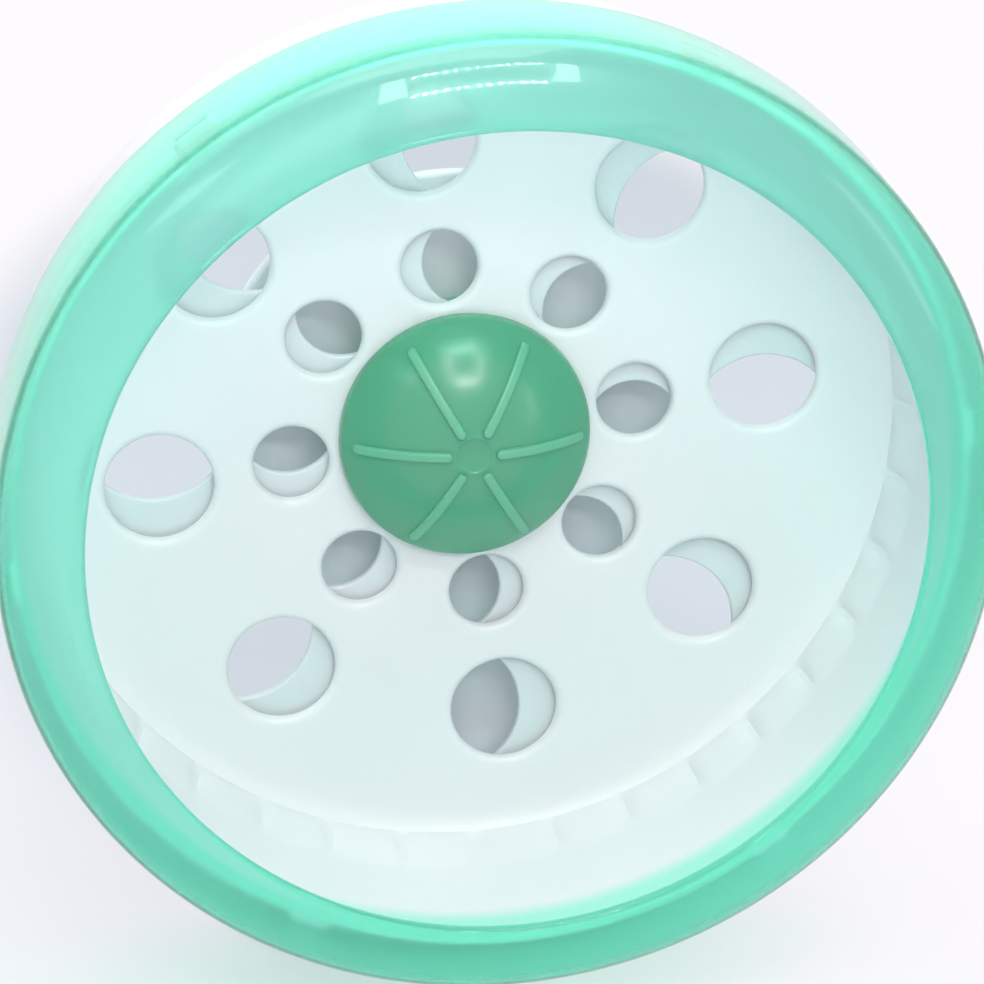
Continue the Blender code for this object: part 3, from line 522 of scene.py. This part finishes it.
# Running drum: the white ABS cup that the animal runs in, moulded in one with its back plate.
# The track is plain, with 36 low pads side by side in the corner where it meets the plate.
treads = 36
tabs = 6
tread_facets = 12
tread_start = math.radians(1.3)
pad_height = 0.0024
pad_front = 0.0535
pad_back = 0.0649
pad_rows = 14
pad_crest_shift = 1.6
pad_bluntness = 0.8
pad_squareness = 5
catch_height = 0.0009
catch_half_width = 1 / 4
ring_wall = 0.0018
ring_inside = wheel_radius - ring_wall
rim_radius = ring_inside - fit_gap
drum_front = depth_of("running_drum")[0]
drum_wall = 0.002
rim_thickness = 0.002
rim_edge = 0.0013
rim_ledge = 0.0002
rim_nose = 0.0005
track_taper = 0.001
track_front_radius = rim_radius - catch_height - drum_wall
track_back_radius = track_front_radius - track_taper
corner_radius = 0.0085
plate_flat_radius = track_back_radius - corner_radius
plate_gap = 0.0013
plate_back = rear_plate_front - plate_gap
plate_front = plate_back - drum_wall
corner_depth = plate_front - corner_radius
seat_rib_width = 0.002
rib_inside = plate_flat_radius - seat_rib_width
drum_small_radius = wheel_radius * 0.079
drum_large_radius = wheel_radius * 0.1133
round_lip = 0.0017
sharp_lip = 0.0002


def arc(centre, radius, start, end, steps):
    """Points from start to end degrees about a centre, with 0 along the radius and 90 along the depth."""
    turns = [math.radians(start + (end - start) * step / steps) for step in range(steps + 1)]
    return [(centre[0] + radius * math.cos(turn), centre[1] + radius * math.sin(turn)) for turn in turns]


def track_radius(depth):
    """Inner radius of the plain track and of the rounded corner behind it."""
    if depth < corner_depth:
        return track_back_radius + track_taper / (corner_depth - drum_front) * (corner_depth - depth)
    return plate_flat_radius + math.sqrt(corner_radius ** 2 - (depth - corner_depth) ** 2)


def drum_section(pad, catch):
    """The drum's wall: plate, corner with a share of the pad's height, track, rim and outside.

    The rim is thin where catch is 0, and stands out to its full radius where catch is 1.
    """
    rim_front = track_front_radius + rim_edge
    rim_front += (rim_radius - rim_front) * catch
    rim_back = track_front_radius + drum_wall + rim_ledge
    rim_back += (rim_radius - rim_back) * catch
    corner = (plate_flat_radius, corner_depth)
    corner_turn = math.degrees(math.asin((pad_back - corner_depth) / corner_radius))
    points = [(plate_flat_radius - flat_rim, plate_front)]
    points += arc(corner, corner_radius, 90, corner_turn, 5)
    for number in range(1, pad_rows + 1):
        forward = 1 - number / pad_rows
        depth = pad_front + (pad_back - pad_front) * forward
        rise = pad_height * pad * math.sin(math.pi * forward ** pad_crest_shift) ** pad_bluntness
        points.append((track_radius(depth) - rise, depth))
    points += arc((track_front_radius + rim_nose, drum_front + rim_nose), rim_nose, 180, 270, 3)
    points += arc((rim_front - rim_nose, drum_front + rim_nose), rim_nose, 270, 360, 3)
    points += [(rim_back, drum_front + rim_thickness),
               (track_front_radius + drum_wall, drum_front + rim_thickness)]
    points += arc(corner, corner_radius + drum_wall, 0, 90, 6)
    points += [(plate_flat_radius, rear_plate_back), (rib_inside, rear_plate_back),
               (rib_inside, plate_back), (rib_inside - flat_rim, plate_back)]
    return points


def fade(tree, value, start, end, low=0.0, high=1.0):
    """A smooth change from low to high while a value runs from start to end."""
    return add_node(tree, "ShaderNodeMapRange",
                    {"From Min": start, "From Max": end, "To Min": low, "To Max": high,
                     "interpolation_type": "SMOOTHSTEP"}, {"Value": value}).outputs[0]


def paint_mint_light(material, glow, start, end, inside):
    """Paints mint light onto a wall within a radius and in front of start: painted light that stands for
    light through the mint ring.
    """
    tree = material.node_tree
    shader = next(node for node in tree.nodes if node.type == "BSDF_PRINCIPLED")
    plain = shader.inputs["Base Color"].links[0].from_socket
    place = add_node(tree, "ShaderNodeTexCoord").outputs["Object"]
    depth = add_node(tree, "ShaderNodeSeparateXYZ", {}, {0: place}).outputs["Y"]
    from_axle = add_node(tree, "ShaderNodeVectorMath",
                         {"operation": "MULTIPLY_ADD", 1: (1, 0, 1), 2: (0, 0, -axle_height)},
                         {0: place})
    radius = add_node(tree, "ShaderNodeVectorMath", {"operation": "LENGTH"},
                      {0: from_axle.outputs[0]})
    outside = add_node(tree, "ShaderNodeMath", {"operation": "GREATER_THAN", 1: inside},
                       {0: radius.outputs["Value"]})
    no_mint_share = add_node(tree, "ShaderNodeMath", {"operation": "MAXIMUM"},
                        {0: fade(tree, depth, start, end), 1: outside.outputs[0]})
    mint_lit_colour = add_node(tree, "ShaderNodeMix", {"data_type": "RGBA", 6: linear(glow)},
                      {0: no_mint_share.outputs[0], 7: plain})
    tree.links.new(mint_lit_colour.outputs[2], shader.inputs["Base Color"])


drum = bmesh.new()
row = drum.verts.layers.int.new("row")
add_line(drum, drum_section(0, 0), {})
for number, vert in enumerate(drum.verts):
    vert[row] = number
turn_line(drum, treads * tread_facets)
for vert in drum.verts:
    turn = math.atan2(-vert.co.y, vert.co.x)
    tread, across = divmod((turn - tread_start) / math.tau * treads, 1)
    pad = 1 - abs(2 * across - 1) ** pad_squareness
    catch = tread % (treads // tabs) == 0 and abs(across - 1 / 2) < catch_half_width
    radius, depth = drum_section(pad, catch)[vert[row]]
    vert.co = (radius * math.cos(turn), -radius * math.sin(turn), depth)
add_hole(drum, (0, 0), [(hub_hole + flat_rim, plate_front), (hub_hole, plate_front),
                        (hub_hole, plate_back), (hub_hole + flat_rim, plate_back)], {}, steps=96)
add_plate_holes(drum, drum_small_radius, drum_large_radius, 0.0, plate_front, plate_back,
                round_lip, sharp_lip)
fill_flat(drum, plate_front)
fill_flat(drum, plate_back)
# The drum's white ABS carries painted mint light inside its mouth, standing in for light through the clear
# ring.
drum_abs_with_painted_mint_light = moulded_plastic("white_abs_with_painted_mint_light", "#F0EFF1", "#EBEBEE", roughness=0.36,
                            subsurface=0.1)
mouth_depth = 0.028
mouth_fade_depth = 0.035
paint_mint_light(drum_abs_with_painted_mint_light, "#A8EBDB", lip_y + mouth_depth, lip_y + mouth_fade_depth,
           track_front_radius + rim_nose)
make_piece("treaded_drum", drum, on_axle, drum_abs_with_painted_mint_light, "wheel", ["running_drum"],
           crease=24)


# Front ring: a clear mint polystyrene moulding that snaps over the drum's rim on six tabs.
# It has a rolled lip round the opening, a rounded face and a long skirt, all with one wall.
def clear_polystyrene(name, surface_tint, wall_tint, density):
    """Tinted plastic that is polished outside and hazy within: near things show through, far ones blur."""
    peel_size = 0.003
    material, tree, place = bare_material(name)
    peel = noise(tree, place, peel_size, detail=1.0)
    clear = add_node(tree, "ShaderNodeBsdfPrincipled",
                     {"Base Color": linear(surface_tint), "IOR": 1.25, "Transmission Weight": 0.93,
                      "Coat Weight": 0.5, "Coat Roughness": 0.03, "Coat IOR": 1.45},
                     {"Roughness": spread(tree, peel, low=0.21, high=0.262),
                      "Coat Normal": bump(tree, peel, strength=0.04, depth=0.0001)})
    lamp_light = add_node(tree, "ShaderNodeBsdfTransparent")
    path = add_node(tree, "ShaderNodeLightPath")
    surface = add_node(tree, "ShaderNodeMixShader", {}, {0: path.outputs["Is Shadow Ray"],
                                                         1: clear.outputs[0], 2: lamp_light.outputs[0]})
    inside = add_node(tree, "ShaderNodeVolumeAbsorption",
                      {"Color": linear(wall_tint), "Density": density})
    add_node(tree, "ShaderNodeOutputMaterial", {}, {"Surface": surface.outputs[0],
                                                    "Volume": inside.outputs[0]})
    return material


mint_clear = clear_polystyrene("clear_mint_polystyrene", "#C2F7EA", "#2BEFDC", density=200.0)
opening_radius = 0.0873
lip_nose = 0.0012
face_depth = 0.0105
skirt_depth = depth_of("front_ring")[1]
lip_depth = 0.0026
face_steps = 20
face_start = opening_radius + lip_nose


def face_points(inset, first):
    """The rounded face from its inner edge to the skirt, set in by the wall on the inner side."""
    turns = [math.pi / 2 * step / face_steps for step in range(first, face_steps + 1)]
    return [(face_start + (wheel_radius - face_start - inset) * math.sin(turn),
             face_depth - (face_depth - inset) * math.cos(turn)) for turn in turns]


ring_points = [(opening_radius, lip_depth - ring_wall / 2)]
ring_points += arc((face_start, lip_nose), lip_nose, 180, 270, 4)
ring_points += face_points(0.0, 1)
skirt_corner = len(ring_points)
ring_points += [(wheel_radius, skirt_depth), (ring_inside, skirt_depth)]
ring_points += face_points(ring_wall, 2)[::-1]
ring_points += arc((opening_radius + ring_wall / 2, lip_depth - ring_wall / 2), ring_wall / 2,
                   60, 180, 6)
skirt_edge = 0.0005
front_ring = turned(ring_points, {skirt_corner: skirt_edge, skirt_corner + 1: skirt_edge}, steps=288)
tab_bite = 0.0006
tab_root = 0.0001
tab_width = 0.008
tab_length = 0.0025
tab_low = rim_radius - tab_bite
tab_high = ring_inside + tab_root
tab_middle = ((tab_low + tab_high) / 2, 0, drum_front + rim_thickness + fit_gap + tab_length / 2)
tab_size = (tab_high - tab_low, tab_width, tab_length)
for number in range(tabs):
    tab_turn = Matrix.Rotation(-tread_start - math.pi / treads - math.tau * number / tabs, 4, "Z")
    tab_place = tab_turn @ Matrix.Translation(tab_middle) @ Matrix.Diagonal((*tab_size, 1))
    bmesh.ops.create_cube(front_ring, size=1.0, matrix=tab_place)
make_piece("clear_front_ring", front_ring, on_axle, mint_clear, "wheel", ["front_ring"])


# Hub cap: a green ABS dome with a flat tip and six raised ribs, held by screws from behind.
# The ribs are a little paler and more matt than the dome.
cap_back = depth_of("hub_cap")[1]
cap_radius = radius_of("hub_cap")
cap_edge = 0.0012
cap_rim = 0.0032
cap_dome = 0.0117
cap_wall = 0.002
cap_rim_depth = plate_front - cap_rim
cap_apex = cap_rim_depth - cap_dome
dome_sphere = (cap_radius ** 2 + cap_dome ** 2) / (2 * cap_dome)
dimple_radius = 0.0035
dimple_depth = 0.0005
dome_steps = 24
ribs = 6
rib_start = 0.0048
rib_end = 0.0253
rib_width = 0.0022
rib_height = 0.0011
rib_end_round = rib_width * 0.45
rib_edge_round = 0.0006
rib_bends = 14


def dome_depth(radius):
    return cap_apex + dome_sphere - math.sqrt(dome_sphere ** 2 - radius ** 2)


dimple_edge = dimple_radius + dimple_depth
cap_points = [(0, cap_apex + dimple_depth), (dimple_radius, cap_apex + dimple_depth)]
for step in range(dome_steps + 1):
    radius = dimple_edge + (cap_radius - dimple_edge) * step / dome_steps
    cap_points.append((radius, dome_depth(radius)))
inside_radius = cap_radius - cap_wall
cap_points += [(cap_radius, cap_back), (inside_radius, cap_back)]
for step in range(dome_steps, -1, -1):
    radius = inside_radius * step / dome_steps
    cap_points.append((radius, dome_depth(radius) + cap_wall))
cap = turned(cap_points, {2 + dome_steps: cap_edge}, steps=144)
make_piece("hub_dome", cap, on_axle, green_abs, "wheel", ["hub_cap"])
pale_green_abs = moulded_plastic("paler_green_abs", "#68B693", "#6EBB98", roughness=0.34, subsurface=0.05)
cap_ribs = bmesh.new()
bmesh.ops.create_cube(cap_ribs, size=1.0)
bmesh.ops.scale(cap_ribs, verts=cap_ribs.verts, vec=(rib_end - rib_start, rib_width, rib_height * 2))
bmesh.ops.translate(cap_ribs, verts=cap_ribs.verts, vec=((rib_end + rib_start) / 2, 0, 0))
rib_ends = [edge for edge in cap_ribs.edges if abs(edge.verts[0].co.z - edge.verts[1].co.z) > rib_height]
round_off(cap_ribs, rib_ends, rib_end_round, segments=6)
rib_top = [edge for edge in cap_ribs.edges if max(vert.co.z for vert in edge.verts) < 0]
round_off(cap_ribs, rib_top, rib_edge_round, segments=4)
for bend in range(1, rib_bends):
    cut = rib_start + (rib_end - rib_start) * bend / rib_bends
    bmesh.ops.bisect_plane(cap_ribs, geom=cap_ribs.verts[:] + cap_ribs.edges[:] + cap_ribs.faces[:],
                           plane_co=(cut, 0, 0), plane_no=(1, 0, 0))
for vert in cap_ribs.verts:
    vert.co.z += dome_depth(math.hypot(vert.co.x, vert.co.y))
bmesh.ops.spin(cap_ribs, geom=cap_ribs.verts[:] + cap_ribs.edges[:] + cap_ribs.faces[:], cent=(0, 0, 0),
               axis=(0, 0, 1), steps=ribs - 1, angle=math.tau * (ribs - 1) / ribs, use_duplicate=True)
make_piece("hub_dome_ribs", cap_ribs, on_axle, pale_green_abs, "wheel", crease=50)


# Nut cover: a green ABS cap that snaps over the lock nut at the back of the post.
# It is turned in form, with a bevelled edge and a slightly domed top.
cover_front, cover_back = depth_of("nut_cover")
cover_radius = radius_of("nut_cover")
cover_wall = 0.0015
cover_bevel = cover_wall * 2
cover_inside = cover_radius - cover_wall
cover_flat = cover_radius - cover_bevel
cover_corner = cover_back - cover_bevel
cover_top_round = 0.0008
cover_side_round = 0.0012
cover_rim_round = 0.0003
cover = turned([(0, cover_back), (cover_flat, cover_back), (cover_radius, cover_corner),
                (cover_radius, cover_front), (cover_inside, cover_front),
                (cover_inside, cover_corner), (cover_flat, cover_back - cover_wall),
                (0, cover_back - cover_wall)],
               {1: cover_top_round, 2: cover_side_round, 3: cover_rim_round}, steps=96)
make_piece("nut_cap", cover, on_axle, green_abs, "stand", ["nut_cover"])


# Floor: a plain pale sheet that carries the object and takes its shadow. It looks nearly white to the
# camera and in reflections, with painted shade near the wheel and in an ellipse behind it, and painted
# mint light under the ring.
def seen_before_matt(tree):
    """1 for rays from the camera that have met only glossy or clear surfaces, and 0 for others."""
    path = add_node(tree, "ShaderNodeLightPath")
    turned_aside = add_node(tree, "ShaderNodeMath", {"operation": "MAXIMUM"},
                            {0: path.outputs["Is Glossy Ray"], 1: path.outputs["Is Transmission Ray"]})
    seen = add_node(tree, "ShaderNodeMath", {"operation": "MAXIMUM"},
                    {0: path.outputs["Is Camera Ray"], 1: turned_aside.outputs[0]})
    before_matt = add_node(tree, "ShaderNodeMath", {"operation": "LESS_THAN", 1: 0.5},
                           {0: path.outputs["Diffuse Depth"]})
    both = add_node(tree, "ShaderNodeMath", {"operation": "MULTIPLY"},
                    {0: seen.outputs[0], 1: before_matt.outputs[0]})
    return both.outputs[0]


def in_ellipse(tree, place, middle, half_sizes, turn=0.0):
    """The distance from an ellipse's middle, with 1 on its edge."""
    inside = add_node(tree, "ShaderNodeMapping",
                      {"vector_type": "TEXTURE", "Rotation": (0, 0, turn), "Location": (*middle, 0),
                       "Scale": (*half_sizes, 1)}, {"Vector": place})
    return add_node(tree, "ShaderNodeVectorMath", {"operation": "LENGTH"},
                    {0: inside.outputs[0]}).outputs["Value"]


background_colour = "#FEFBFF"
floor_colour = "#D6DEE6"
mint_light_colour = "#B4E8D6"
floor_size = 8.0
floor_mesh = bmesh.new()
bmesh.ops.create_grid(floor_mesh, x_segments=1, y_segments=1, size=floor_size / 2)
floor_data = bpy.data.meshes.new("floor")
floor_mesh.to_mesh(floor_data)
floor_mesh.free()
floor = bpy.data.objects.new("floor", floor_data)
bpy.context.scene.collection.objects.link(floor)
dim_middle = (-0.08, 0.02, 0)
dim_radius = 0.04
bright_radius = 0.25
key_azimuth = -8
shade_turn = math.radians(key_azimuth)
shade_distance = 0.33
shade_middle = (-shade_distance * math.sin(shade_turn), shade_distance * math.cos(shade_turn))
shade_half_sizes = (0.14, 0.3)
mint_middle = (-0.005, -0.03)
mint_half_sizes = (0.08, 0.035)
paper, paper_tree, paper_place = bare_material("pale_paper")
paper_matt = add_node(paper_tree, "ShaderNodeBsdfDiffuse")
paper_glow = add_node(paper_tree, "ShaderNodeEmission", {"Strength": 1.0})
# Near the wheel, most of all at its lower left, the glow is held back: partly real shadow on the matt
# floor, partly painted shade.
from_object = add_node(paper_tree, "ShaderNodeVectorMath", {"operation": "DISTANCE", 1: dim_middle},
                       {0: paper_place})
glow_by_distance = fade(paper_tree, from_object.outputs["Value"], dim_radius, bright_radius,
                        low=0.6, high=1.0)
# Painted shade: the glow is held back in an ellipse behind the wheel, where its shadow from the front lamp
# lies.
from_shade = in_ellipse(paper_tree, paper_place, shade_middle, shade_half_sizes, shade_turn)
glow_here = add_node(paper_tree, "ShaderNodeMath", {"operation": "MULTIPLY"},
                     {0: glow_by_distance, 1: fade(paper_tree, from_shade, start=0.9, end=1.2)})
glow_share = add_node(paper_tree, "ShaderNodeMath", {"operation": "MULTIPLY"},
                      {0: seen_before_matt(paper_tree), 1: glow_here.outputs[0]})
paper_mix = add_node(paper_tree, "ShaderNodeMixShader", {}, {0: glow_share.outputs[0],
                                                             1: paper_matt.outputs[0],
                                                             2: paper_glow.outputs[0]})
# Painted mint light: the floor under the ring is tinted mint, standing in for light through the clear
# ring.
from_ring = in_ellipse(paper_tree, paper_place, mint_middle, mint_half_sizes)
mint_share = fade(paper_tree, from_ring, start=0.5, end=1.3, low=0.35, high=0.0)
for shader, colour in ((paper_matt, floor_colour), (paper_glow, background_colour)):
    paper_tree.links.new(blend(paper_tree, colour, mint_light_colour, mint_share), shader.inputs["Color"])
add_node(paper_tree, "ShaderNodeOutputMaterial", {}, {"Surface": paper_mix.outputs[0]})
floor_data.materials.append(paper)


# Light: a pale room all round, and soft boxes in front, above, on the left and behind.
# The clear ring mirrors two rows of small lamps between two bars, and a strip on either side.
world = bpy.data.worlds.new("pale_room")
bpy.context.scene.world = world
world.use_nodes = True
room_tree = world.node_tree
room_tree.nodes.clear()
room_light = add_node(room_tree, "ShaderNodeBackground", {"Color": linear("#F8F9FC"), "Strength": 0.25})
room_seen = add_node(room_tree, "ShaderNodeBackground",
                     {"Color": linear(background_colour), "Strength": 1.0})
room_mix = add_node(room_tree, "ShaderNodeMixShader", {}, {0: seen_before_matt(room_tree),
                                                           1: room_light.outputs[0],
                                                           2: room_seen.outputs[0]})
add_node(room_tree, "ShaderNodeOutputWorld", {}, {"Surface": room_mix.outputs[0]})
wheel_middle = Vector((0, 0, axle_height))
ring_top = Vector((0, lip_y, axle_height + face_start))
ring_right = Vector((0.95 * wheel_radius, lip_y, axle_height))
ring_left = Vector((-0.7 * wheel_radius, lip_y, axle_height + 0.7 * wheel_radius))


def lamp(name, target, azimuth, elevation, distance, width, height, power, mirrored, lean=0.0,
         colour="#FFFFFF"):
    """A rectangular lamp facing a target, seen from there at an azimuth and an elevation in degrees."""
    light = bpy.data.lights.new(name, "AREA")
    light.shape = "RECTANGLE"
    light.size = width
    light.size_y = height
    light.energy = power
    light.color = linear(colour)[:3]
    made = bpy.data.objects.new(name, light)
    across, up = math.radians(azimuth), math.radians(elevation)
    direction = Vector((math.sin(across) * math.cos(up), -math.cos(across) * math.cos(up), math.sin(up)))
    facing = (-direction).to_track_quat("-Z", "Y").to_matrix().to_4x4()
    made.matrix_world = (Matrix.Translation(target + direction * distance) @ facing
                         @ Matrix.Rotation(math.radians(lean), 4, "Z"))
    made.visible_glossy = mirrored
    made.visible_camera = False
    bpy.context.scene.collection.objects.link(made)


lamp("front_soft_box", wheel_middle, azimuth=key_azimuth, elevation=20, distance=0.9, width=0.4,
     height=0.4, power=1.4, mirrored=False, colour="#FFE9EF")
lamp("overhead_soft_box", wheel_middle, azimuth=-18, elevation=80, distance=1.2, width=0.8,
     height=0.6, power=5.7, mirrored=True)
lamp("left_soft_box", wheel_middle, azimuth=-100, elevation=55, distance=1.4, width=0.6,
     height=0.6, power=5.0, mirrored=False)
lamp("rear_soft_box", wheel_middle, azimuth=165, elevation=50, distance=1.5, width=1.0,
     height=0.8, power=6.0, mirrored=False)
row_lamps = 13
for row_name, row_elevation, row_start, row_end in (("upper", 51, -8, 21), ("lower", 27, -2, 14)):
    for number in range(row_lamps):
        row_azimuth = row_start + (row_end - row_start) * number / (row_lamps - 1)
        lamp(row_name + "_row_lamp_" + str(number), ring_top, azimuth=row_azimuth,
             elevation=row_elevation, distance=1.1, width=0.008, height=0.05, power=0.13, mirrored=True)
lamp("left_bar", ring_top, azimuth=-9, elevation=41, distance=1.1, width=0.07, height=0.5, power=1.2,
     mirrored=True, lean=15)
lamp("right_bar", ring_top, azimuth=21, elevation=39, distance=1.1, width=0.06, height=0.46, power=1.0,
     mirrored=True, lean=-18)
lamp("left_strip", ring_left, azimuth=-42, elevation=30, distance=1.2, width=0.36, height=0.22,
     power=0.7, mirrored=True)
lamp("right_strip", ring_right, azimuth=48, elevation=8, distance=1.2, width=0.12, height=0.5,
     power=0.5, mirrored=True)


# Camera: at the photograph's angle, about 22 degrees above the axle and a little to the left,
# with a long lens so that the wheel fills the frame.
lens_length = 160.3
sensor_width = 36.0
eye_from_opening = Vector((-0.1378, -0.8159, 0.3347))
line_of_sight = Vector((0.1500, 0.9194, -0.3637))
camera_data = bpy.data.cameras.new("photo_camera")
camera_data.lens = lens_length
camera_data.sensor_width = sensor_width
camera = bpy.data.objects.new("photo_camera", camera_data)
camera.location = Vector((0, lip_y, axle_height)) + eye_from_opening
camera.rotation_euler = line_of_sight.to_track_quat("-Z", "Y").to_euler()
bpy.context.scene.collection.objects.link(camera)
bpy.context.scene.camera = camera
bpy.context.scene.view_settings.view_transform = "Standard"
